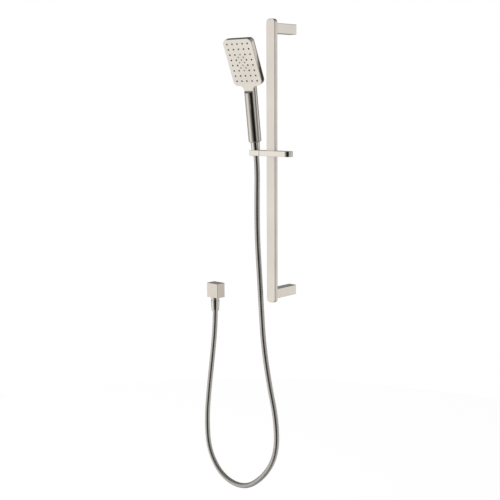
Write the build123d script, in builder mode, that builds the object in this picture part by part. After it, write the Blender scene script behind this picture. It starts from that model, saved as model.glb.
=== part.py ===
from build123d import *
import math
import os

os.makedirs("parts", exist_ok=True)

# ---------------------------------------------------------------- driving sizes (mm)
RAIL_L, RAIL_W, RAIL_D, RAIL_T = 700.0, 28.0, 10.4, 1.5
RAIL_Y = -79.2                    # rail centre in front of the wall
RAIL_BACK = RAIL_Y + RAIL_D / 2
CAP_H = 10.0                      # rounded end cap height
EDGE_R = 1.5
FIX_Z = 327.5                     # wall fixings above and below the origin
POST_W, POST_H, POST_T = 24.0, 24.5, 2.2
WALL_HOLE_R = 2.6

SL_Z, SL_H, SL_D = 25.0, 13.6, 26.0
SL_LEFT, SL_TAN = -31.4, 49.6
HO_LEFT, HO_RIGHT = -65.6, -31.8

HX = -53.0                        # handset axis
LEAN = 7.1                        # handle lean out of the vertical
FACE_TILT = 21.8                  # face lean out of the vertical
HANDLE_R, HANDLE_BORE = 16.0, 12.5
HEAD_W, HEAD_TOP, HEAD_BOT, HEAD_D = 93.0, 58.6, -58.6, 18.4
PLATE_T = 2.0
PITCH_X, PITCH_V = 16.7, 13.5
HOSE_R, HOSE_IN = 7.0, 6.2
LINER_R, LINER_IN = 5.8, 4.2

EX, EY, EZ, E_SIDE, E_DEPTH = -263.3, -17.0, -362.0, 40.0, 28.6
INLET_R = 9.3
COLLAR_TOP = EZ - E_SIDE / 2

# ---------------------------------------------------------------- frames
sl, cl = math.sin(math.radians(LEAN)), math.cos(math.radians(LEAN))
sf, cf = math.sin(math.radians(FACE_TILT)), math.cos(math.radians(FACE_TILT))
U = Vector(0, -sl, cl)            # up the handle
B = Vector(0, cl, sl)             # from the handle axis to the wall
H0 = Vector(HX, RAIL_Y, SL_Z)
FACE_U, FACE_B = 225.2, -22.0
F0 = H0 + U * FACE_U + B * FACE_B
FACE_UP = Vector(0, -sf, cf)
FACE_N = Vector(0, -cf, -sf)
face = Plane(origin=F0, x_dir=(1, 0, 0), z_dir=FACE_N)
REL_S = math.sin(math.radians(FACE_TILT - LEAN))
REL_C = math.cos(math.radians(FACE_TILT - LEAN))


def handle(h):
    return Plane(origin=H0 + U * h, x_dir=(1, 0, 0), z_dir=U)


def side_plane(x):
    # local x = toward the wall, local y = up the handle
    return Plane(origin=H0 + Vector(x - HX, 0, 0), x_dir=B, z_dir=Vector(1, 0, 0))


def front(y):
    # looking at the wall: local x = right, local y = up, extrudes toward the room
    return Plane(origin=(0, y, 0), x_dir=(1, 0, 0), z_dir=(0, -1, 0))


def turned(origin, axis, pts):
    a = Vector(*axis).normalized()
    r = Vector(1, 0, 0) if abs(a.X) < 0.9 else Vector(0, 0, 1)
    with BuildPart() as body:
        with BuildSketch(Plane(origin=origin, x_dir=r, z_dir=r.cross(a))):
            with BuildLine():
                Polyline(*pts, close=True)
            make_face()
        revolve(axis=Axis(origin, a))
    return body


def coil(origin, axis, radius, wire, height, turns):
    with BuildPart() as body:
        with BuildLine() as path:
            Helix(pitch=height / turns, height=height, radius=radius, center=origin, direction=axis)
        with BuildSketch(Plane(origin=path.line @ 0, z_dir=path.line % 0)):
            Circle(wire)
        sweep()
    return body


def save(body, name):
    body.part.label = name
    export_step(body.part, "parts/" + name + ".step")


# ---------------------------------------------------------------- rail
TUBE_H = RAIL_L / 2 - CAP_H
with BuildPart() as rail_tube:
    with BuildSketch(Plane(origin=(0, RAIL_Y, -TUBE_H))):
        RectangleRounded(RAIL_W, RAIL_D, EDGE_R)
        RectangleRounded(RAIL_W - 2 * RAIL_T, RAIL_D - 2 * RAIL_T, 0.5, mode=Mode.SUBTRACT)
    extrude(amount=2 * TUBE_H)
    with BuildSketch(front(RAIL_BACK + 1)):
        with Locations((0, FIX_Z), (0, -FIX_Z)):
            Circle(2.3)
    extrude(amount=4, mode=Mode.SUBTRACT)
save(rail_tube, "rail_tube")


def rail_cap(sign):
    with BuildPart() as cap:
        with BuildSketch(front(RAIL_BACK)):
            with BuildLine():
                z0, z1 = sign * TUBE_H, sign * (TUBE_H + CAP_H)
                Polyline((-RAIL_W / 2, z0), (RAIL_W / 2, z0), (RAIL_W / 2, z1), (-RAIL_W / 2, z1), close=True)
            make_face()
            fillet([v for v in vertices() if abs(v.Y - z1) < 0.01 or abs(v.Z - z1) < 0.01], CAP_H - 0.3)
        extrude(amount=RAIL_D)
        rim = [e for e in cap.edges() if abs(e.center().Z) > TUBE_H + 0.05
               and abs(abs(e.center().Y - RAIL_Y) - RAIL_D / 2) < 0.01]
        fillet(rim, EDGE_R)
        with BuildSketch(Plane(origin=(0, RAIL_Y, sign * (TUBE_H - 4)))):
            RectangleRounded(RAIL_W - 2 * RAIL_T - 0.4, RAIL_D - 2 * RAIL_T - 0.4, 0.4)
        extrude(amount=sign * 5)
    return cap


rail_cap_top = rail_cap(1)
save(rail_cap_top, "rail_cap_top")
rail_cap_bottom = rail_cap(-1)
save(rail_cap_bottom, "rail_cap_bottom")


def rail_insert(z):
    with BuildPart() as block:
        with BuildSketch(front(RAIL_Y + 3.6)):
            with Locations((0, z)):
                Rectangle(20, 15)
                Circle(2.1, mode=Mode.SUBTRACT)
        extrude(amount=7.2)
    return block


rail_insert_upper = rail_insert(FIX_Z)
save(rail_insert_upper, "rail_insert_upper")
rail_insert_lower = rail_insert(-FIX_Z)
save(rail_insert_lower, "rail_insert_lower")


def post(z):
    with BuildPart() as sleeve:
        with BuildSketch(front(0)):
            with Locations((0, z)):
                RectangleRounded(POST_W, POST_H, 1.4)
        extrude(amount=-RAIL_BACK)
        with BuildSketch(front(0)):
            with Locations((0, z)):
                Rectangle(POST_W - 2 * POST_T, POST_H - 2 * POST_T)
        extrude(amount=-RAIL_BACK - 3, mode=Mode.SUBTRACT)
        with BuildSketch(front(0)):
            with Locations((0, z)):
                Circle(2.3)
        extrude(amount=-RAIL_BACK, mode=Mode.SUBTRACT)
        with BuildSketch(Plane(origin=(0, -6, z - POST_H / 2 - 1))):
            Circle(2.5)
        extrude(amount=4, mode=Mode.SUBTRACT)
    return sleeve


post_upper = post(FIX_Z)
save(post_upper, "post_upper")
post_lower = post(-FIX_Z)
save(post_lower, "post_lower")


def bracket(z):
    with BuildPart() as block:
        with BuildSketch(front(0)):
            with Locations((0, z)):
                Rectangle(POST_W - 2 * POST_T - 0.4, POST_H - 2 * POST_T - 0.4)
                Circle(WALL_HOLE_R, mode=Mode.SUBTRACT)
        extrude(amount=12)
        with BuildSketch(Plane(origin=(0, -6, z - POST_H / 2))):
            Circle(1.9)
        extrude(amount=4.0, mode=Mode.SUBTRACT)
    return block


bracket_upper = bracket(FIX_Z)
save(bracket_upper, "bracket_upper")
bracket_lower = bracket(-FIX_Z)
save(bracket_lower, "bracket_lower")

with BuildPart() as post_screws:
    with BuildSketch(front(RAIL_BACK + 5.5)):
        with Locations((0, FIX_Z), (0, -FIX_Z)):
            Circle(4.2)
    extrude(amount=2.5)
    with BuildSketch(front(RAIL_BACK + 3.5)):
        with Locations((0, FIX_Z), (0, -FIX_Z)):
            Circle(2.0)
    extrude(amount=12)
    with BuildSketch(front(RAIL_BACK + 5.6)):
        with Locations((0, FIX_Z), (0, -FIX_Z)):
            RegularPolygon(1.5, 6)
    extrude(amount=1.8, mode=Mode.SUBTRACT)
save(post_screws, "post_screws")

with BuildPart() as grub_screws:
    for z in (FIX_Z, -FIX_Z):
        with BuildSketch(Plane(origin=(0, -6, z - POST_H / 2 + 0.2))):
            Circle(2.4)
        extrude(amount=POST_T - 0.2)
        with BuildSketch(Plane(origin=(0, -6, z - POST_H / 2 + POST_T - 0.2))):
            Circle(1.5)
        extrude(amount=1.4)
        with BuildSketch(Plane(origin=(0, -6, z - POST_H / 2 + 0.1))):
            RegularPolygon(1.2, 6)
        extrude(amount=1.2, mode=Mode.SUBTRACT)
save(grub_screws, "grub_screws")

# ---------------------------------------------------------------- slider
PIN_R = 4.0
with BuildPart() as slider_body:
    with BuildSketch(Plane.XY.offset(SL_Z - SL_H / 2)):
        with Locations(((SL_LEFT + SL_TAN) / 2, RAIL_Y)):
            Rectangle(SL_TAN - SL_LEFT, SL_D)
        with Locations((SL_TAN, RAIL_Y)):
            Circle(SL_D / 2)
    extrude(amount=SL_H)
    rim = [e for e in slider_body.edges() if abs(abs(e.center().Z - SL_Z) - SL_H / 2) < 0.01]
    chamfer(rim, 0.4)
    with BuildSketch(Plane.XY.offset(SL_Z - SL_H)):
        with Locations((0, RAIL_Y)):
            RectangleRounded(RAIL_W + 0.8, RAIL_D + 0.8, 1.9)
    extrude(amount=2 * SL_H, mode=Mode.SUBTRACT)
    with BuildSketch(Plane.XY.offset(SL_Z - SL_H / 2 + 1.2)):
        with Locations((0, RAIL_Y)):
            RectangleRounded(RAIL_W + 3.1, RAIL_D + 3.1, 1.1)
    extrude(amount=SL_H - 2.4, mode=Mode.SUBTRACT)
    with BuildSketch(Plane(origin=(14, RAIL_Y, SL_Z), z_dir=(1, 0, 0))):
        Circle(3.3)
    extrude(amount=20, mode=Mode.SUBTRACT)
    with BuildSketch(Plane(origin=(SL_LEFT - 1, RAIL_Y, SL_Z), z_dir=(1, 0, 0))):
        Circle(PIN_R + 0.06)
    extrude(amount=12.2, mode=Mode.SUBTRACT)
    with BuildSketch(Plane(origin=(SL_LEFT, RAIL_Y, SL_Z), z_dir=(1, 0, 0))):
        Circle(2.3)
    extrude(amount=18, mode=Mode.SUBTRACT)
    with BuildSketch(Plane(origin=(-18.4, RAIL_Y, SL_Z), z_dir=(1, 0, 0))):
        Circle(3.9)
    extrude(amount=5, mode=Mode.SUBTRACT)
save(slider_body, "slider_body")

with BuildPart() as slider_liner:
    with BuildSketch(Plane.XY.offset(SL_Z - SL_H / 2 + 1.3)):
        with Locations((0, RAIL_Y)):
            RectangleRounded(RAIL_W + 3.0, RAIL_D + 3.0, 1.0)
            RectangleRounded(RAIL_W + 0.2, RAIL_D + 0.2, EDGE_R + 0.1, mode=Mode.SUBTRACT)
    extrude(amount=SL_H - 2.6)
    with BuildSketch(Plane(origin=(10, RAIL_Y, SL_Z), z_dir=(1, 0, 0))):
        Circle(3.6)
    extrude(amount=10, mode=Mode.SUBTRACT)
save(slider_liner, "slider_liner")

brake_pad = turned((14.05, RAIL_Y, SL_Z), (1, 0, 0), [(0, 0), (2.8, 0), (3.2, 0.5), (3.2, 4.5), (1.6, 4.5), (1.6, 7), (0, 7)])
save(brake_pad, "brake_pad")
brake_spring = coil((18.95, RAIL_Y, SL_Z), (1, 0, 0), 2.4, 0.35, 14.2, 7)
save(brake_spring, "brake_spring")

pivot_pin = turned((-40.0, RAIL_Y, SL_Z), (1, 0, 0), [(0, 0), (PIN_R - 0.4, 0), (PIN_R, 0.4), (PIN_R, 19.6), (2.0, 19.6), (2.0, 10), (0, 10)])
save(pivot_pin, "pivot_pin")
pivot_screw = turned((-15.9, RAIL_Y, SL_Z), (-1, 0, 0), [(1.3, 0), (3.5, 0), (3.5, 2.4), (1.9, 2.4), (1.9, 13), (0, 13), (0, 1.4), (1.3, 1.4)])
save(pivot_screw, "pivot_screw")
friction_washer = turned((SL_LEFT - 0.95, RAIL_Y, SL_Z), (1, 0, 0), [(4.4, 0), (5.8, 0), (5.8, 0.93), (4.4, 0.93)])
save(friction_washer, "friction_washer")

# ---------------------------------------------------------------- cone nut and holder
NUT_LOW, NUT_TOP = -8.0, 27.6


def nut_r(h):
    return 10.0 + (h - NUT_LOW) * (11.5 - 10.0) / (NUT_TOP - NUT_LOW)


with BuildPart() as handset_holder:
    with BuildSketch(Plane.XY.offset(SL_Z - SL_H / 2)):
        with Locations(((HO_LEFT + HO_RIGHT) / 2, RAIL_Y)):
            RectangleRounded(HO_RIGHT - HO_LEFT, SL_D, 1.2)
    extrude(amount=SL_H)
    rim = [e for e in handset_holder.edges() if abs(abs(e.center().Z - SL_Z) - SL_H / 2) < 0.01]
    chamfer(rim, 0.4)
    with BuildSketch(side_plane(HX)):
        with BuildLine():
            Polyline((0, -12), (nut_r(-12) + 0.3, -12), (nut_r(12) + 0.3, 12), (0, 12), close=True)
        make_face()
    revolve(axis=Axis(H0, U), mode=Mode.SUBTRACT)
    with BuildSketch(handle(-15)):
        with Locations((-10, 0)):
            Rectangle(20, 15.2)
    extrude(amount=30, mode=Mode.SUBTRACT)
    with BuildSketch(Plane(origin=(HO_RIGHT, RAIL_Y, SL_Z), z_dir=(-1, 0, 0))):
        Circle(PIN_R + 0.05)
    extrude(amount=8.4, mode=Mode.SUBTRACT)
    with BuildSketch(Plane(origin=(HO_RIGHT, RAIL_Y, SL_Z), z_dir=(-1, 0, 0))):
        Circle(6.1)
    extrude(amount=0.6, mode=Mode.SUBTRACT)
save(handset_holder, "handset_holder")

cone_nut = turned(tuple(H0), tuple(U), [
    (7.7, NUT_LOW), (nut_r(NUT_LOW) - 0.6, NUT_LOW), (nut_r(NUT_LOW + 0.6), NUT_LOW + 0.6),
    (nut_r(NUT_TOP - 0.8), NUT_TOP - 0.8), (10.8, NUT_TOP), (10.35, NUT_TOP), (10.35, 8.0), (7.7, 8.0)])
save(cone_nut, "cone_nut")
ferrule_top = turned(tuple(H0), tuple(U), [
    (2.4, -18), (3.0, -18), (3.4, -16), (3.4, 6.0), (5.4, 6.0), (5.4, 8.05), (9.8, 8.05), (9.8, 10.4), (2.4, 10.4)])
save(ferrule_top, "ferrule_top")
washer_top = turned(tuple(H0), tuple(U), [(4.5, 10.45), (9.7, 10.45), (9.7, 12.35), (4.5, 12.35)])
save(washer_top, "washer_top")

# ---------------------------------------------------------------- handset
BEND_V = -53.2
BEND_U, BEND_B = FACE_U + BEND_V * REL_C, FACE_B - BEND_V * REL_S
TOP_U, TOP_B = FACE_U + 70 * REL_C, FACE_B - 70 * REL_S
NECK_U = 155.0
BTN_U, BTN_L, BTN_W = 127.1, 38.0, 15.2     # selector button: place, length and width
BEND_DU = PLATE_T * (1 - REL_C) / REL_S


with BuildPart() as handset_shell:
    # sides draw in towards the back, the top flares a little
    for depth, draw, flare in ((PLATE_T, 0, 0), (HEAD_D, 2.2, 0.8)):
        with BuildSketch(face.offset(-depth)):
            with BuildLine():
                Polyline((-HEAD_W / 2 + draw, HEAD_TOP + flare), (HEAD_W / 2 - draw, HEAD_TOP + flare), (HEAD_W / 2 - draw, HEAD_BOT + draw),
                         (18 - draw, HEAD_BOT - 1.5 + draw), (10.8 - draw / 2, -80), (-10.8 + draw / 2, -80),
                         (-18 + draw, HEAD_BOT - 1.5 + draw), (-HEAD_W / 2 + draw, HEAD_BOT + draw), close=True)
            make_face()
            fillet([v for v in vertices() if abs(v.X) > 40], 12.5 - draw)
            fillet([v for v in vertices() if 14 < abs(v.X) < 19], 12)
    loft(ruled=True)
    # back edge rounded all the way round, then the neck thinned towards the handle
    rear = face.offset(-HEAD_D)
    back = [e for e in handset_shell.edges() if abs(rear.to_local_coords(e.center()).Z) < 0.05]
    fillet([e for e in back if rear.to_local_coords(e.center()).Y > -74], 8.0)
    with BuildSketch(Plane(origin=F0 - Vector(60, 0, 0), x_dir=FACE_UP, z_dir=(1, 0, 0))):
        with BuildLine():
            Polyline((HEAD_TOP + 2, 6), (HEAD_TOP + 2, -HEAD_D - 2), (HEAD_BOT - 1, -HEAD_D - 2), (HEAD_BOT - 7, -7), (-81, -5), (-81, 6), close=True)
        make_face()
        fillet([v for v in vertices() if -60 < v.X < -50 and v.Y < 0], 8.0)
    extrude(amount=120, mode=Mode.INTERSECT)
    with BuildSketch(handle(28)):
        Circle(HANDLE_R)
    extrude(amount=182)
    foot = [e for e in handset_shell.edges() if abs((e.center() - H0).dot(U) - 28) < 0.01]
    fillet(foot, 2.4)
    # front of the neck and head cut to the bent plate seat, scooped out to the round handle
    with BuildSketch(side_plane(HX - 60)):
        with BuildLine():
            Polyline((TOP_B + PLATE_T / REL_C, TOP_U), (BEND_B + PLATE_T, BEND_U + BEND_DU), (BEND_B + PLATE_T, NECK_U),
                     (BEND_B, NECK_U))
            ThreePointArc((BEND_B, NECK_U), (BEND_B - 3.0, NECK_U - 3.2), (-16.4, NECK_U - 5.2))
            Polyline((-16.4, NECK_U - 5.2), (-60, NECK_U - 5.2), (-60, TOP_U), (TOP_B + PLATE_T / REL_C, TOP_U))
        make_face()
    extrude(amount=120, mode=Mode.SUBTRACT)
    # handle runs into the back of the head as a ramp
    with BuildSketch(side_plane(HX - 18)):
        with BuildLine():
            Polyline((16.6, 158), (-0.2, 212), (-0.2, 240), (40, 240), (40, 158), close=True)
        make_face()
    extrude(amount=36, mode=Mode.SUBTRACT)
    with BuildSketch(face.offset(-PLATE_T)):
        with Locations((0, 1.5)):
            RectangleRounded(86, 108, 9)
    extrude(amount=-8.5, mode=Mode.SUBTRACT)
    with BuildSketch(face.offset(-PLATE_T)):
        with Locations((0, 1.5)):
            RectangleRounded(74, 96, 7)
    extrude(amount=-(HEAD_D - PLATE_T - 2.4), mode=Mode.SUBTRACT)
    with BuildSketch(handle(27)):
        Circle(HANDLE_BORE)
    extrude(amount=121, mode=Mode.SUBTRACT)
    with BuildSketch(Plane(origin=H0 + U * 147 + B * 1.0, x_dir=(1, 0, 0), z_dir=U)):
        Circle(4.0)
    extrude(amount=34, mode=Mode.SUBTRACT)
    with BuildSketch(Plane(origin=H0 + U * BTN_U - B * 9, x_dir=(1, 0, 0), z_dir=-B)):
        RectangleRounded(BTN_W + 0.6, BTN_L + 0.6, 2.8)
    extrude(amount=10, mode=Mode.SUBTRACT)
save(handset_shell, "handset_shell")

DARK, LIGHT = [], []
for row in range(8):
    for col in range(5):
        spot = ((col - 2) * PITCH_X, (3.5 - row) * PITCH_V)
        if col == 2 and 2 <= row <= 5:
            LIGHT.append(spot)
        else:
            DARK.append(spot)
for k in (-1, 0, 1):
    LIGHT.append((-PITCH_X / 2, k * PITCH_V))
    LIGHT.append((PITCH_X / 2, k * PITCH_V))

with BuildPart() as face_plate:
    with BuildSketch(face.offset(4)):
        with BuildLine():
            Polyline((-HEAD_W / 2, HEAD_TOP), (HEAD_W / 2, HEAD_TOP), (HEAD_W / 2, HEAD_BOT), (18, HEAD_BOT - 1.5),
                     (10.8, -80), (-10.8, -80), (-18, HEAD_BOT - 1.5), (-HEAD_W / 2, HEAD_BOT), close=True)
        make_face()
        fillet([v for v in vertices() if abs(v.X) > 40], 12.5)
        fillet([v for v in vertices() if 17 < abs(v.X) < 19], 12)
    extrude(amount=-16)
    with BuildSketch(side_plane(HX - 60)):
        with BuildLine():
            Polyline((TOP_B, TOP_U), (BEND_B, BEND_U), (BEND_B, NECK_U + 0.05), (BEND_B + PLATE_T - 0.02, NECK_U + 0.05),
                     (BEND_B + PLATE_T - 0.02, BEND_U + BEND_DU), (TOP_B + (PLATE_T - 0.02) / REL_C, TOP_U), close=True)
        make_face()
    extrude(amount=120, mode=Mode.INTERSECT)
    with BuildSketch(face.offset(1)):
        with Locations(*(DARK + LIGHT)):
            Circle(2.35)
    extrude(amount=-4, mode=Mode.SUBTRACT)
    rim = [e for e in face_plate.edges() if abs((e.center() - F0).dot(FACE_N)) < 0.3
           and (e.center() - F0).dot(FACE_UP) > BEND_V + 0.5 and e.geom_type != GeomType.CIRCLE
           or e.geom_type == GeomType.CIRCLE and e.radius > 11 and abs((e.center() - F0).dot(FACE_N)) < 0.05]
    fillet(rim, 0.7)
save(face_plate, "face_plate")

with BuildPart() as nozzle_mat:
    with BuildSketch(face.offset(-PLATE_T - 0.02)):
        with Locations((0, 1.5)):
            RectangleRounded(82, 104, 7)
        RectangleRounded(22.8, 48.8, 3.2, mode=Mode.SUBTRACT)
    extrude(amount=-1.5)
    with BuildSketch(face.offset(-PLATE_T - 0.1)):
        with Locations(*DARK):
            Circle(2.1)
    extrude(amount=PLATE_T + 0.8)
    with BuildSketch(face.offset(1.5)):
        with Locations(*DARK):
            Circle(0.6)
    extrude(amount=-6, mode=Mode.SUBTRACT)
save(nozzle_mat, "nozzle_mat")

with BuildPart() as massage_insert:
    with BuildSketch(face.offset(-PLATE_T - 0.02)):
        RectangleRounded(22, 48, 2.8)
    extrude(amount=-1.5)
    with BuildSketch(face.offset(-PLATE_T - 0.1)):
        with Locations(*LIGHT):
            Circle(2.1)
    extrude(amount=PLATE_T + 0.4)
    with BuildSketch(face.offset(1.5)):
        with Locations(*LIGHT):
            Circle(0.8)
    extrude(amount=-6, mode=Mode.SUBTRACT)
save(massage_insert, "massage_insert")

with BuildPart() as distributor_plate:
    with BuildSketch(face.offset(-PLATE_T - 1.6)):
        with Locations((0, 1.5)):
            RectangleRounded(82, 104, 7)
    extrude(amount=-3.0)
    with BuildSketch(face.offset(-PLATE_T - 1.6)):
        with Locations((0, 1.5)):
            RectangleRounded(76, 98, 5)
        RectangleRounded(25, 51, 4, mode=Mode.SUBTRACT)
    extrude(amount=-1.4, mode=Mode.SUBTRACT)
    with BuildSketch(face.offset(-PLATE_T - 1.6)):
        RectangleRounded(21, 47, 2.5)
    extrude(amount=-1.4, mode=Mode.SUBTRACT)
    with BuildSketch(face.offset(-PLATE_T)):
        Circle(4)
        with Locations((-30, -40), (30, -40), (-30, 42), (30, 42)):
            Circle(3)
    extrude(amount=-6, mode=Mode.SUBTRACT)
save(distributor_plate, "distributor_plate")

with BuildPart() as head_seal:
    with BuildSketch(face.offset(-PLATE_T - 4.65)):
        with Locations((0, 1.5)):
            RectangleRounded(82, 104, 7)
            RectangleRounded(78, 100, 5, mode=Mode.SUBTRACT)
    extrude(amount=-3.8)
save(head_seal, "head_seal")

inlet_nipple = turned(tuple(H0), tuple(U), [
    (5.5, 12.4), (9.9, 12.4), (10.25, 12.9), (10.25, 28.1), (12.4, 28.1), (12.4, 47), (6.2, 47), (6.2, 41), (5.5, 41)])
save(inlet_nipple, "inlet_nipple")
flow_restrictor = turned(tuple(H0), tuple(U), [(1.6, 16), (5.2, 16), (5.2, 20), (2.6, 20), (1.6, 18.5)])
save(flow_restrictor, "flow_restrictor")
water_tube = turned(tuple(H0), tuple(U), [(4.5, 41.1), (5.9, 41.1), (5.9, 104), (4.5, 104)])
save(water_tube, "water_tube")

with BuildPart() as diverter_housing:
    with BuildSketch(handle(100)):
        Circle(12.2)
        with Locations((0, -20)):
            Rectangle(40, 25.2, mode=Mode.SUBTRACT)
    extrude(amount=46)
    with BuildSketch(handle(99)):
        Circle(6.2)
    extrude(amount=5.2, mode=Mode.SUBTRACT)
    with BuildSketch(handle(103)):
        Circle(3.6)
    extrude(amount=50, mode=Mode.SUBTRACT)
    with BuildSketch(Plane(origin=H0 + U * BTN_U - B * 9, x_dir=(1, 0, 0), z_dir=B)):
        Circle(2.6)
    extrude(amount=8, mode=Mode.SUBTRACT)
save(diverter_housing, "diverter_housing")

with BuildPart() as selector_button:
    with BuildSketch(handle(100)):
        Circle(HANDLE_R)
        Circle(13.0, mode=Mode.SUBTRACT)
    extrude(amount=50)
    with BuildSketch(Plane(origin=H0 + U * BTN_U - B * 8, x_dir=(1, 0, 0), z_dir=-B)):
        RectangleRounded(BTN_W, BTN_L, 2.5)
    extrude(amount=10, mode=Mode.INTERSECT)
    with BuildSketch(Plane(origin=H0 + U * BTN_U - B * 13.2, x_dir=(1, 0, 0), z_dir=B)):
        Circle(2.2)
    extrude(amount=9, mode=Mode.ADD)
save(selector_button, "selector_button")
selector_spring = coil(tuple(H0 + U * BTN_U - B * 12.3), tuple(B), 3.4, 0.3, 4.2, 3)
save(selector_spring, "selector_spring")

# ---------------------------------------------------------------- wall elbow
with BuildPart() as elbow_body:
    with BuildSketch(front(0)):
        with Locations((EX, EZ)):
            Rectangle(E_SIDE, E_SIDE)
    extrude(amount=E_DEPTH)
    fillet(elbow_body.edges().filter_by(lambda e: e.center().Y < -0.1), 0.9)
    with BuildSketch(front(0)):
        with Locations((EX, EZ)):
            Circle(INLET_R)
    extrude(amount=14, mode=Mode.SUBTRACT)
    with BuildSketch(front(0)):
        with Locations((EX, EZ)):
            Circle(5.5)
    extrude(amount=17, mode=Mode.SUBTRACT)
    with BuildSketch(front(0)):
        with Locations((EX, EZ)):
            Circle(13.2)
            Circle(10.8, mode=Mode.SUBTRACT)
    extrude(amount=1.5, mode=Mode.SUBTRACT)
    with BuildSketch(Plane(origin=(EX, EY, COLLAR_TOP - 1))):
        Circle(8.5)
    extrude(amount=10.2, mode=Mode.SUBTRACT)
    with BuildSketch(Plane(origin=(EX, EY, COLLAR_TOP))):
        Circle(6.0)
    extrude(amount=E_SIDE / 2, mode=Mode.SUBTRACT)
save(elbow_body, "elbow_body")

wall_seal = turned((EX, 0, EZ), (0, -1, 0), [(11.1, 0), (12.9, 0), (12.9, 1.45), (11.1, 1.45)])
save(wall_seal, "wall_seal")

NT = COLLAR_TOP - 7.8             # top of the hose nut
outlet_nipple = turned((EX, EY, 0), (0, 0, 1), [
    (6.6, COLLAR_TOP + 9.0), (8.4, COLLAR_TOP + 9.0), (8.4, COLLAR_TOP - 0.02), (11.0, COLLAR_TOP - 0.02), (11.0, COLLAR_TOP - 4.5),
    (8.4, COLLAR_TOP - 4.5), (8.4, COLLAR_TOP - 7.4), (10.25, COLLAR_TOP - 7.4), (10.25, COLLAR_TOP - 19.0),
    (6.6, COLLAR_TOP - 19.0)])
save(outlet_nipple, "outlet_nipple")
hose_nut = turned((EX, EY, 0), (0, 0, 1), [
    (10.35, NT), (11.5, NT), (12.0, NT - 0.6), (10.2, NT - 28.4), (9.0, NT - 30.4), (7.7, NT - 30.4), (7.7, NT - 15.65),
    (10.35, NT - 15.65)])
save(hose_nut, "hose_nut")
washer_bottom = turned((EX, EY, 0), (0, 0, 1), [
    (5.0, COLLAR_TOP - 19.05), (9.8, COLLAR_TOP - 19.05), (9.8, COLLAR_TOP - 20.95), (5.0, COLLAR_TOP - 20.95)])
save(washer_bottom, "washer_bottom")
FL = COLLAR_TOP - 21.0
ferrule_bottom = turned((EX, EY, 0), (0, 0, 1), [
    (2.4, FL), (9.8, FL), (9.8, FL - 2.35), (5.4, FL - 2.35), (5.4, FL - 4.4), (3.4, FL - 4.4), (3.4, FL - 26.4),
    (3.0, FL - 28.4), (2.4, FL - 28.4)])
save(ferrule_bottom, "ferrule_bottom")

CG = COLLAR_TOP + 7.0             # top of the check valve cage
with BuildPart() as check_cage:
    with BuildSketch(Plane(origin=(EX, EY, 0), x_dir=(1, 0, 0), z_dir=(0, -1, 0))):
        with BuildLine():
            Polyline((2.2, CG), (6.3, CG), (6.3, CG - 5), (4.8, CG - 5), (4.8, CG - 7), (6.3, CG - 7), (6.3, CG - 16),
                     (1.5, CG - 16), (1.5, CG - 14.5), (3.9, CG - 14.5), (3.9, CG - 1.5), (2.2, CG - 1.5), close=True)
        make_face()
    revolve(axis=Axis((EX, EY, 0), (0, 0, 1)))
    with BuildSketch(Plane(origin=(EX, EY, CG - 17))):
        with PolarLocations(2.75, 4):
            Circle(0.8)
    extrude(amount=3.5, mode=Mode.SUBTRACT)
save(check_cage, "check_cage")
check_poppet = turned((EX, EY, 0), (0, 0, 1), [
    (0, CG - 1.55), (2.9, CG - 1.55), (3.4, CG - 2.1), (3.4, CG - 3.2), (1.1, CG - 3.2), (1.1, CG - 14), (0, CG - 14)])
save(check_poppet, "check_poppet")
check_spring = coil((EX, EY, CG - 14.1), (0, 0, 1), 2.2, 0.3, 10.5, 6)
save(check_spring, "check_spring")
with BuildPart() as check_oring:
    with BuildSketch(Plane(origin=(EX, EY, 0), x_dir=(1, 0, 0), z_dir=(0, -1, 0))):
        with Locations((5.68, CG - 6)):
            Circle(0.83)
    revolve(axis=Axis((EX, EY, 0), (0, 0, 1)))
save(check_oring, "check_oring")

# ---------------------------------------------------------------- hose
HOSE_TOP = H0 + U * 5.8
EXIT = H0 - U * 38
HOSE = [
    tuple(HOSE_TOP), tuple(EXIT), (-52.5, -77.0, -92.0), (-49.5, -80.0, -188.0), (-42.5, -80.0, -283.0),
    (-36.5, -80.0, -374.0), (-29.5, -80.0, -467.0), (-10.7, -80.0, -566.6), (11.3, -76.5, -663.7), (3.5, -67.5, -757.8),
    (-50.2, -55.2, -835.4), (-133.6, -41.8, -895.7), (-229.5, -29.5, -891.8), (-291.4, -20.5, -831.0),
    (-301.8, -17.0, -739.9), (-290.9, -17.0, -645.8), (-275.9, -17.0, -551.0), (EX, EY, -455.0), (EX, EY, FL - 4.6)]
SPLIT = 2                         # the short top run ends midway between points 2 and 3


def mid(a, b):
    return tuple((p + q) / 2 for p, q in zip(a, b))


def radii(pts):
    out = []
    for a, b, c in zip(pts, pts[1:], pts[2:]):
        v, w = Vector(*b) - Vector(*a), Vector(*c) - Vector(*b)
        turn = math.acos(max(-1.0, min(1.0, v.normalized().dot(w.normalized()))))
        out.append(0.45 * min(v.length, w.length) / math.tan(turn / 2))
    return out


def tube(pts, outer, inner):
    with BuildPart() as body:
        with BuildLine() as path:
            FilletPolyline(*pts, radius=radii(pts))
        with BuildSketch(Plane(origin=path.line @ 0, z_dir=path.line % 0)):
            Circle(outer)
            Circle(inner, mode=Mode.SUBTRACT)
        sweep()
    return body, sum(e.length for e in path.line.edges())


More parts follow.
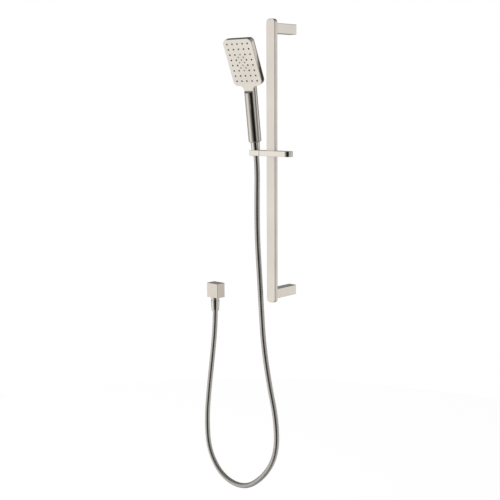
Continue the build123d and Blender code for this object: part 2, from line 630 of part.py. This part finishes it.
SEAM = mid(HOSE[SPLIT], HOSE[SPLIT + 1])
LOWER = [SEAM] + HOSE[SPLIT + 1:]
UPPER = HOSE[:SPLIT + 1] + [SEAM]
print("radii", [round(r) for r in radii(HOSE)])
hose_sheath, length_low = tube(LOWER, HOSE_R, HOSE_IN)
save(hose_sheath, "hose_sheath")
hose_liner, _ = tube(LOWER, LINER_R, LINER_IN)
save(hose_liner, "hose_liner")
hose_sheath_top, length_top = tube(UPPER, HOSE_R, HOSE_IN)
save(hose_sheath_top, "hose_sheath_top")
hose_liner_top, _ = tube(UPPER, LINER_R, LINER_IN)
save(hose_liner_top, "hose_liner_top")
area = math.pi * (HOSE_R ** 2 - HOSE_IN ** 2)
print("lengths", round(length_low, 1), round(length_top, 1), "volume ratio",
      round(hose_sheath.part.volume / (area * length_low), 4), round(hose_sheath_top.part.volume / (area * length_top), 4))
print("hose top", tuple(HOSE_TOP), "exit", tuple(EXIT), "seam", SEAM)
print("head corner", tuple(F0))
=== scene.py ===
import bpy
import bmesh
import math
import numpy as np
from mathutils import Matrix, Vector


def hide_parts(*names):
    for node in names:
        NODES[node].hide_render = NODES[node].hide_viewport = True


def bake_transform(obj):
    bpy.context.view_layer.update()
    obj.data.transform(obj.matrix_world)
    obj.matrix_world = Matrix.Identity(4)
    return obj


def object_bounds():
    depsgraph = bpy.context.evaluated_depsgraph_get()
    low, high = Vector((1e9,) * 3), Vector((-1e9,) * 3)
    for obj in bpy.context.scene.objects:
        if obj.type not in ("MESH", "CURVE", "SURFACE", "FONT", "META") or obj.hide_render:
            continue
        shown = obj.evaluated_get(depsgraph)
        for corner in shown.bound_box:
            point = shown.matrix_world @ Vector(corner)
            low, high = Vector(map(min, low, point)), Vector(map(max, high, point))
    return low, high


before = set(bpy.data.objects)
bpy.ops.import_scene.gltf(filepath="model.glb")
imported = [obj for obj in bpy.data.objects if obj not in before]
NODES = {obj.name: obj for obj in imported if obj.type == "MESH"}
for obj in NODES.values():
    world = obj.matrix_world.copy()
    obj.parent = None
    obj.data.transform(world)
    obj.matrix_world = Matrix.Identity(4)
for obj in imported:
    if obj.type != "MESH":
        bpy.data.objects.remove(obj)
CAD_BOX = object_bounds()
scene = bpy.context.scene
scene.view_settings.view_transform = "Standard"

# ------------------------------------------------------------------ camera
CAM_AT = Vector((1.5633, -1.8789, 0.1531))
YAW, PITCH, ROLL = math.radians(42.32), math.radians(8.81), math.radians(-0.31)
FOCAL = 960.7 / 500 * 36.0
fwd = Vector((-math.sin(YAW) * math.cos(PITCH), math.cos(YAW) * math.cos(PITCH), -math.sin(PITCH)))
right = Vector((math.cos(YAW), math.sin(YAW), 0))
up = right.cross(fwd)
r2 = math.cos(ROLL) * right + math.sin(ROLL) * up
u2 = -math.sin(ROLL) * right + math.cos(ROLL) * up
cam_data = bpy.data.cameras.new("camera")
cam_data.lens = FOCAL
cam_data.sensor_width = 36.0
cam_data.clip_end = 50
cam = bpy.data.objects.new("camera", cam_data)
scene.collection.objects.link(cam)
rot = Matrix((r2, u2, -fwd)).transposed().to_4x4()
cam.matrix_world = Matrix.Translation(CAM_AT) @ rot
scene.camera = cam

# ------------------------------------------------------------------ hose line
SLOPE = math.radians(7.1)
UP = Vector((0, -math.sin(SLOPE), math.cos(SLOPE)))          # up the handle
BACK = Vector((0, math.cos(SLOPE), math.sin(SLOPE)))         # handle axis towards the wall
SEAT = Vector((-0.053, -0.0792, 0.025))                      # centre of the cone seat
HOSE_TOP = SEAT + UP * 0.0058
ROUTE = [
    tuple(HOSE_TOP), tuple(SEAT - UP * 0.038), (-0.0525, -0.077, -0.092), (-0.0495, -0.080, -0.188),
    (-0.0425, -0.080, -0.283), (-0.0365, -0.080, -0.374), (-0.0295, -0.080, -0.467), (-0.0107, -0.080, -0.5666),
    (0.0113, -0.0765, -0.6637), (0.0035, -0.0675, -0.7578), (-0.0502, -0.0552, -0.8354),
    (-0.1336, -0.0418, -0.8957), (-0.2295, -0.0295, -0.8918), (-0.2914, -0.0205, -0.8310),
    (-0.3018, -0.0170, -0.7399), (-0.2909, -0.0170, -0.6458), (-0.2759, -0.0170, -0.5510),
    (-0.2633, -0.0170, -0.4550), (-0.2633, -0.0170, -0.4076)]
HOSE_R = 0.007


def nurbs_points(points, resolution=48):
    data = bpy.data.curves.new("hose_line", "CURVE")
    data.dimensions = "3D"
    spline = data.splines.new("NURBS")
    spline.points.add(len(points) - 1)
    for p, q in zip(spline.points, points):
        p.co = (*q, 1.0)
    spline.order_u = 3
    spline.use_endpoint_u = True
    data.resolution_u = resolution
    spline.resolution_u = resolution
    line = bpy.data.objects.new("hose_line", data)
    scene.collection.objects.link(line)
    bpy.context.view_layer.update()
    mesh = bpy.data.meshes.new_from_object(line)
    out = np.array([v.co for v in mesh.vertices], float)
    bpy.data.objects.remove(line)
    bpy.data.meshes.remove(mesh)
    bpy.data.curves.remove(data)
    return out


LINE = nurbs_points(ROUTE)
if np.linalg.norm(LINE[0] - np.array(ROUTE[0])) > np.linalg.norm(LINE[-1] - np.array(ROUTE[0])):
    LINE = LINE[::-1]
steps = np.linalg.norm(np.diff(LINE, axis=0), axis=1)
keep = np.r_[True, steps > 1e-7]
LINE = LINE[keep]
ARC = np.r_[0, np.cumsum(np.linalg.norm(np.diff(LINE, axis=0), axis=1))]


def at(s):
    return np.array([np.interp(s, ARC, LINE[:, k]) for k in range(3)])


def tangent(s, h=0.0015):
    a, b = at(max(0, s - h)), at(min(ARC[-1], s + h))
    return (b - a) / np.linalg.norm(b - a)


def ringed_hose(name, s0, s1, pitch, segments=28):
    """Wound steel hose: one rounded ring each pitch with a tight groove between rings, closed at both ends."""
    n = int(round((s1 - s0) / pitch))
    pitch = (s1 - s0) / n
    profile = [(0.00, 0.85), (0.07, 0.92), (0.18, 0.965), (0.33, 0.993), (0.5, 1.0), (0.67, 0.993), (0.82, 0.965), (0.93, 0.92)]
    stations = [(s0 + (i + t) * pitch, r) for i in range(n) for t, r in profile] + [(s1, 0.85)]
    # a frame carried along the line without twist
    side = None
    verts, faces = [], []
    for s, r in stations:
        t = tangent(s)
        if side is None:
            side = np.array((1.0, 0, 0)) - t * t[0]
        side = side - t * side.dot(t)
        side /= np.linalg.norm(side)
        other = np.cross(t, side)
        c = at(s)
        for k in range(segments):
            a = 2 * math.pi * k / segments
            verts.append(tuple(c + HOSE_R * r * (math.cos(a) * side + math.sin(a) * other)))
    rows = len(stations)
    for i in range(rows - 1):
        for k in range(segments):
            a, b = i * segments + k, i * segments + (k + 1) % segments
            faces.append((a, b, b + segments, a + segments))
    faces.append(tuple(range(segments))[::-1])
    faces.append(tuple((rows - 1) * segments + k for k in range(segments)))
    mesh = bpy.data.meshes.new(name)
    mesh.from_pydata(verts, [], faces)
    mesh.polygons.foreach_set("use_smooth", [True] * len(mesh.polygons))
    mesh.polygons[-1].use_smooth = mesh.polygons[-2].use_smooth = False
    mesh.update()
    obj = bpy.data.objects.new(name, mesh)
    scene.collection.objects.link(obj)
    bm = bmesh.new()
    bm.from_mesh(mesh)
    bmesh.ops.recalc_face_normals(bm, faces=bm.faces)
    bm.to_mesh(mesh)
    bm.free()
    return obj, [tuple(at(s)) for s in np.linspace(s0, s1, max(12, int((s1 - s0) / 0.004)))]


PITCH_HOSE = 0.0044
seam = (Vector(ROUTE[2]) + Vector(ROUTE[3])) / 2
seam_s = float(ARC[np.argmin(np.linalg.norm(LINE - np.array(seam), axis=1))])
seam_s = round(seam_s / PITCH_HOSE) * PITCH_HOSE
hose_short, short_path = ringed_hose("hose_short", 0.0, seam_s, PITCH_HOSE)
hose_long, long_path = ringed_hose("hose_long", seam_s, float(ARC[-1]), PITCH_HOSE)
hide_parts("hose_sheath_top", "hose_liner_top")
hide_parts("hose_sheath", "hose_liner")
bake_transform(hose_short)
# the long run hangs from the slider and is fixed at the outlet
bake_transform(hose_long)

# ------------------------------------------------------------------ materials


class Mat:
    def __init__(self, name):
        self.m = bpy.data.materials.new(name)
        self.m.use_nodes = True
        self.t = self.m.node_tree
        self.b = self.t.nodes["Principled BSDF"]
        self.coord = self.t.nodes.new("ShaderNodeTexCoord")

    def node(self, kind, **values):
        n = self.t.nodes.new(kind)
        for k, v in values.items():
            if k in n.inputs:
                n.inputs[k].default_value = v
            else:
                setattr(n, k, v)
        return n

    def link(self, a, b):
        self.t.links.new(a, b)

    def noise(self, scale, stretch=(1, 1, 1), detail=4.0, rough=0.55):
        mapping = self.t.nodes.new("ShaderNodeMapping")
        mapping.inputs["Scale"].default_value = stretch
        self.link(self.coord.outputs["Object"], mapping.inputs["Vector"])
        n = self.t.nodes.new("ShaderNodeTexNoise")
        n.inputs["Scale"].default_value = scale
        n.inputs["Detail"].default_value = detail
        n.inputs["Roughness"].default_value = rough
        self.link(mapping.outputs["Vector"], n.inputs["Vector"])
        return n.outputs["Fac"]

    def remap(self, value, low, high, f0=0.3, f1=0.7):
        n = self.t.nodes.new("ShaderNodeMapRange")
        n.inputs["From Min"].default_value = f0
        n.inputs["From Max"].default_value = f1
        n.inputs["To Min"].default_value = low
        n.inputs["To Max"].default_value = high
        self.link(value, n.inputs["Value"])
        return n.outputs["Result"]

    def mix(self, fac, a, b):
        n = self.t.nodes.new("ShaderNodeMix")
        n.data_type = "RGBA"
        self.link(fac, n.inputs["Factor"])
        for key, v in (("A", a), ("B", b)):
            sock = [i for i in n.inputs if i.name == key and i.type == "RGBA"][0]
            if isinstance(v, tuple):
                sock.default_value = (*v, 1.0)
            else:
                self.link(v, sock)
        return [o for o in n.outputs if o.type == "RGBA"][0]

    def bump(self, height, strength, distance, normal=None):
        n = self.t.nodes.new("ShaderNodeBump")
        n.inputs["Strength"].default_value = strength
        n.inputs["Distance"].default_value = distance
        self.link(height, n.inputs["Height"])
        if normal is not None:
            self.link(normal, n.inputs["Normal"])
        return n.outputs["Normal"]

    def edges(self, radius=0.0008):
        """1 on sharp edges, 0 on flats."""
        bevel = self.t.nodes.new("ShaderNodeBevel")
        bevel.samples = 4
        bevel.inputs["Radius"].default_value = radius
        geo = self.t.nodes.new("ShaderNodeNewGeometry")
        dot = self.t.nodes.new("ShaderNodeVectorMath")
        dot.operation = "DOT_PRODUCT"
        self.link(bevel.outputs["Normal"], dot.inputs[0])
        self.link(geo.outputs["Normal"], dot.inputs[1])
        return self.remap(dot.outputs["Value"], 1.0, 0.0, 0.80, 0.995)


def shade(c, k):
    return tuple(min(1.0, x * k) for x in c)


def metal(name, colour, rough, grain=(900, 900, 14), grain_bump=0.12, spread=0.06, aniso=0.35, edge=0.5, fine=1.0, tone=0.055):
    """Brushed or polished nickel: long fine grain, drifting roughness, base colour brighter along sharp edges."""
    m = Mat(name)
    m.b.inputs["Metallic"].default_value = 1.0
    m.b.inputs["Anisotropic"].default_value = aniso
    lines = m.noise(fine, grain, detail=3.0, rough=0.6)
    drift = m.noise(9.0, (1, 1, 1), detail=3.0)
    base = m.mix(m.remap(lines, 0.0, 1.0), shade(colour, 1 - tone), shade(colour, 1 + tone))
    base = m.mix(m.remap(drift, 0.0, 0.35), base, shade(colour, 0.93))
    # base colour lifted towards a brighter shade along sharp edges, found by the bevel mask
    edge_mask = m.edges()
    n = m.t.nodes.new("ShaderNodeMath")
    n.operation = "MULTIPLY"
    n.inputs[1].default_value = edge
    m.link(edge_mask, n.inputs[0])
    base = m.mix(n.outputs["Value"], base, shade(colour, 1.22))
    m.link(base, m.b.inputs["Base Color"])
    both = m.t.nodes.new("ShaderNodeMath")
    both.operation = "ADD"
    m.link(m.remap(lines, rough - spread, rough + spread), both.inputs[0])
    m.link(m.remap(drift, -0.03, 0.03), both.inputs[1])
    m.link(both.outputs["Value"], m.b.inputs["Roughness"])
    m.link(m.bump(lines, grain_bump, 0.00004), m.b.inputs["Normal"])
    return m.m


def plastic(name, colour, rough=0.45, spread=0.08, scale=1800.0, bump=0.15, edge=0.25, sheen=False):
    """Moulded plastic or rubber: fine texture, slight mottling, paler edges."""
    m = Mat(name)
    fine = m.noise(scale, detail=2.0)
    blotch = m.noise(60.0, detail=3.0)
    base = m.mix(m.remap(blotch, 0.0, 1.0), shade(colour, 0.88), shade(colour, 1.10))
    n = m.t.nodes.new("ShaderNodeMath")
    n.operation = "MULTIPLY"
    n.inputs[1].default_value = edge
    m.link(m.edges(0.0005), n.inputs[0])
    base = m.mix(n.outputs["Value"], base, shade(colour, 1.5))
    m.link(base, m.b.inputs["Base Color"])
    m.link(m.remap(fine, rough - spread, rough + spread), m.b.inputs["Roughness"])
    m.link(m.bump(fine, bump, 0.00003), m.b.inputs["Normal"])
    return m.m


NICKEL = (0.735, 0.69, 0.625)
MATS = {
    "rail": metal("nickel_brushed_long", (0.785, 0.73, 0.655), 0.34, grain=(1400, 1400, 10)),
    "bar": metal("nickel_brushed_across", shade(NICKEL, 1.02), 0.14, grain=(10, 1400, 1400), grain_bump=0.06, spread=0.04),
    "post": metal("nickel_brushed_out", shade(NICKEL, 1.06), 0.24, grain=(1400, 10, 1400)),
    "block": metal("nickel_brushed_block", (0.67, 0.62, 0.545), 0.22, grain=(12, 1200, 1200)),
    "plate": metal("nickel_brushed_plate", (0.79, 0.735, 0.662), 0.30, grain=(12, 1300, 1300), grain_bump=0.012, spread=0.02, tone=0.02),
    "shell": metal("nickel_satin_shell", shade(NICKEL, 0.90), 0.13, grain=(500, 500, 60), grain_bump=0.04, spread=0.03),
    "polished": metal("nickel_polished", (0.76, 0.72, 0.665), 0.10, grain=(90, 90, 900), grain_bump=0.05, spread=0.03),
    "hose": metal("hose_steel", (0.66, 0.635, 0.595), 0.14, grain=(500, 500, 500), grain_bump=0.06, spread=0.05, edge=0.2),
    "steel": metal("steel_plain", (0.56, 0.56, 0.55), 0.33, grain=(600, 600, 600)),
    "brass": metal("brass_machined", (0.78, 0.60, 0.32), 0.28, grain=(300, 300, 900)),
    "silicone": plastic("silicone_dark", (0.035, 0.036, 0.038), rough=0.5),
    "light": plastic("nozzle_light", (0.36, 0.39, 0.44), rough=0.32),
    "natural": plastic("plastic_natural", (0.62, 0.62, 0.60), rough=0.42),
    "rubber": plastic("rubber_black", (0.022, 0.022, 0.022), rough=0.6),
}
ASSIGN = {
    "rail": ["rail_tube", "rail_cap_top", "rail_cap_bottom"],
    "post": ["post_upper", "post_lower"],
    "bar": ["slider_body", "handset_holder"],
    "block": ["elbow_body"],
    "plate": ["face_plate"],
    "shell": ["handset_shell", "selector_button"],
    "polished": ["cone_nut", "hose_nut", "outlet_nipple"],
    "steel": ["post_screws", "grub_screws", "pivot_pin", "pivot_screw", "brake_spring", "selector_spring", "check_spring"],
    "brass": ["rail_insert_upper", "rail_insert_lower", "bracket_upper", "bracket_lower", "ferrule_top", "ferrule_bottom"],
    "silicone": ["nozzle_mat"],
    "light": ["massage_insert"],
    "rubber": ["head_seal", "wall_seal", "washer_top", "washer_bottom", "check_oring", "hose_liner", "hose_liner_top"],
    "natural": ["slider_liner", "brake_pad", "friction_washer", "distributor_plate", "inlet_nipple", "flow_restrictor",
                "water_tube", "diverter_housing", "check_cage", "check_poppet"],
    "hose": ["hose_sheath", "hose_sheath_top"],
}
for key, names in ASSIGN.items():
    for name in names:
        data = NODES[name].data
        data.materials.clear()
        data.materials.append(MATS[key])
for obj in (hose_short, hose_long):
    obj.data.materials.append(MATS["hose"])
# the brushed rail is too coarse to mirror the handset beside it
for name in ("handset_shell", "face_plate", "selector_button", "nozzle_mat", "massage_insert", "distributor_plate", "head_seal",
             "inlet_nipple", "flow_restrictor", "water_tube", "diverter_housing", "selector_spring", "check_oring",
             "check_cage", "check_poppet", "check_spring", "washer_top", "cone_nut"):
    NODES[name].visible_glossy = False

# ------------------------------------------------------------------ studio
world = bpy.data.worlds.new("studio")
scene.world = world
world.use_nodes = True
wt = world.node_tree
wt.nodes.clear()
w_out = wt.nodes.new("ShaderNodeOutputWorld")
w_bg = wt.nodes.new("ShaderNodeBackground")
w_white = wt.nodes.new("ShaderNodeBackground")
w_white.inputs["Color"].default_value = (1, 1, 1, 1)
w_white.inputs["Strength"].default_value = 1.0
w_mix = wt.nodes.new("ShaderNodeMixShader")
w_path = wt.nodes.new("ShaderNodeLightPath")
w_co = wt.nodes.new("ShaderNodeTexCoord")
w_xyz = wt.nodes.new("ShaderNodeSeparateXYZ")
w_neg = wt.nodes.new("ShaderNodeMath")
w_neg.operation = "MULTIPLY"
w_neg.inputs[1].default_value = -1.0
w_atan = wt.nodes.new("ShaderNodeMath")
w_atan.operation = "ARCTAN2"
w_map = wt.nodes.new("ShaderNodeMapRange")
w_map.inputs["From Min"].default_value = -math.pi
w_map.inputs["From Max"].default_value = math.pi
w_ramp = wt.nodes.new("ShaderNodeValToRGB")
wt.links.new(w_co.outputs["Generated"], w_xyz.inputs[0])
wt.links.new(w_xyz.outputs["Y"], w_neg.inputs[0])
wt.links.new(w_xyz.outputs["X"], w_atan.inputs[0])
wt.links.new(w_neg.outputs[0], w_atan.inputs[1])
wt.links.new(w_atan.outputs[0], w_map.inputs["Value"])
wt.links.new(w_map.outputs["Result"], w_ramp.inputs["Fac"])
w_lift = wt.nodes.new("ShaderNodeMapRange")
w_lift.interpolation_type = "SMOOTHSTEP"
w_lift.inputs["From Min"].default_value = 0.10
w_lift.inputs["From Max"].default_value = 0.55
w_lift.inputs["To Min"].default_value = 1.0
w_lift.inputs["To Max"].default_value = 0.42
w_dim = wt.nodes.new("ShaderNodeVectorMath")
w_dim.operation = "SCALE"
wt.links.new(w_xyz.outputs["Z"], w_lift.inputs["Value"])
wt.links.new(w_ramp.outputs["Color"], w_dim.inputs[0])
wt.links.new(w_lift.outputs["Result"], w_dim.inputs["Scale"])
wt.links.new(w_dim.outputs["Vector"], w_bg.inputs["Color"])
wt.links.new(w_path.outputs["Is Camera Ray"], w_mix.inputs["Fac"])
wt.links.new(w_bg.outputs[0], w_mix.inputs[1])
wt.links.new(w_white.outputs[0], w_mix.inputs[2])
wt.links.new(w_mix.outputs[0], w_out.inputs["Surface"])
# brightness round the room: azimuth in degrees (0 is the room side, + towards the right), brightness
ROOM = [(-180, 0.27), (-150, 0.27), (-118, 0.28), (-90, 0.40), (-70, 0.62), (-52, 0.95), (-32, 0.95), (-18, 0.60),
        (2, 0.24), (20, 0.07), (33, 0.012), (58, 0.012), (68, 0.05), (76, 0.36), (86, 0.58), (104, 0.52), (122, 0.42),
        (132, 0.46), (140, 0.92), (150, 0.90), (160, 0.42), (172, 0.30), (180, 0.27)]
ramp = w_ramp.color_ramp
while len(ramp.elements) > 1:
    ramp.elements.remove(ramp.elements[-1])
ramp.elements[0].position = 0.0
ramp.elements[0].color = (ROOM[0][1],) * 3 + (1,)
for az, v in ROOM[1:]:
    e = ramp.elements.new((az + 180) / 360)
    e.color = (v, v, v, 1)
w_bg.inputs["Strength"].default_value = 1.15

# pale floor under the object
floor_mat = bpy.data.materials.new("floor_pale")
floor_mat.use_nodes = True
fb = floor_mat.node_tree.nodes["Principled BSDF"]
fb.inputs["Base Color"].default_value = (0.9, 0.9, 0.9, 1)
fb.inputs["Roughness"].default_value = 0.9
fb.inputs["Emission Color"].default_value = (1, 1, 1, 1)
fb.inputs["Emission Strength"].default_value = 0.75
bpy.ops.mesh.primitive_circle_add(vertices=96, radius=2.2, fill_type="NGON", location=(0, -0.3, CAD_BOX[0][2] - 0.25))
floor = bpy.context.object
floor.name = "floor"
floor.data.materials.append(floor_mat)
floor.visible_glossy = False


def area(name, at_, look, size, power):
    data = bpy.data.lights.new(name, "AREA")
    data.shape = "SQUARE"
    data.size = size
    data.energy = power
    light = bpy.data.objects.new(name, data)
    scene.collection.objects.link(light)
    light.location = at_
    light.rotation_euler = (Vector(look) - Vector(at_)).to_track_quat("-Z", "Y").to_euler()
    return light


key = area("key", (-1.6, -2.2, 1.6), (0, 0, 0), 1.4, 12)
key.visible_glossy = False
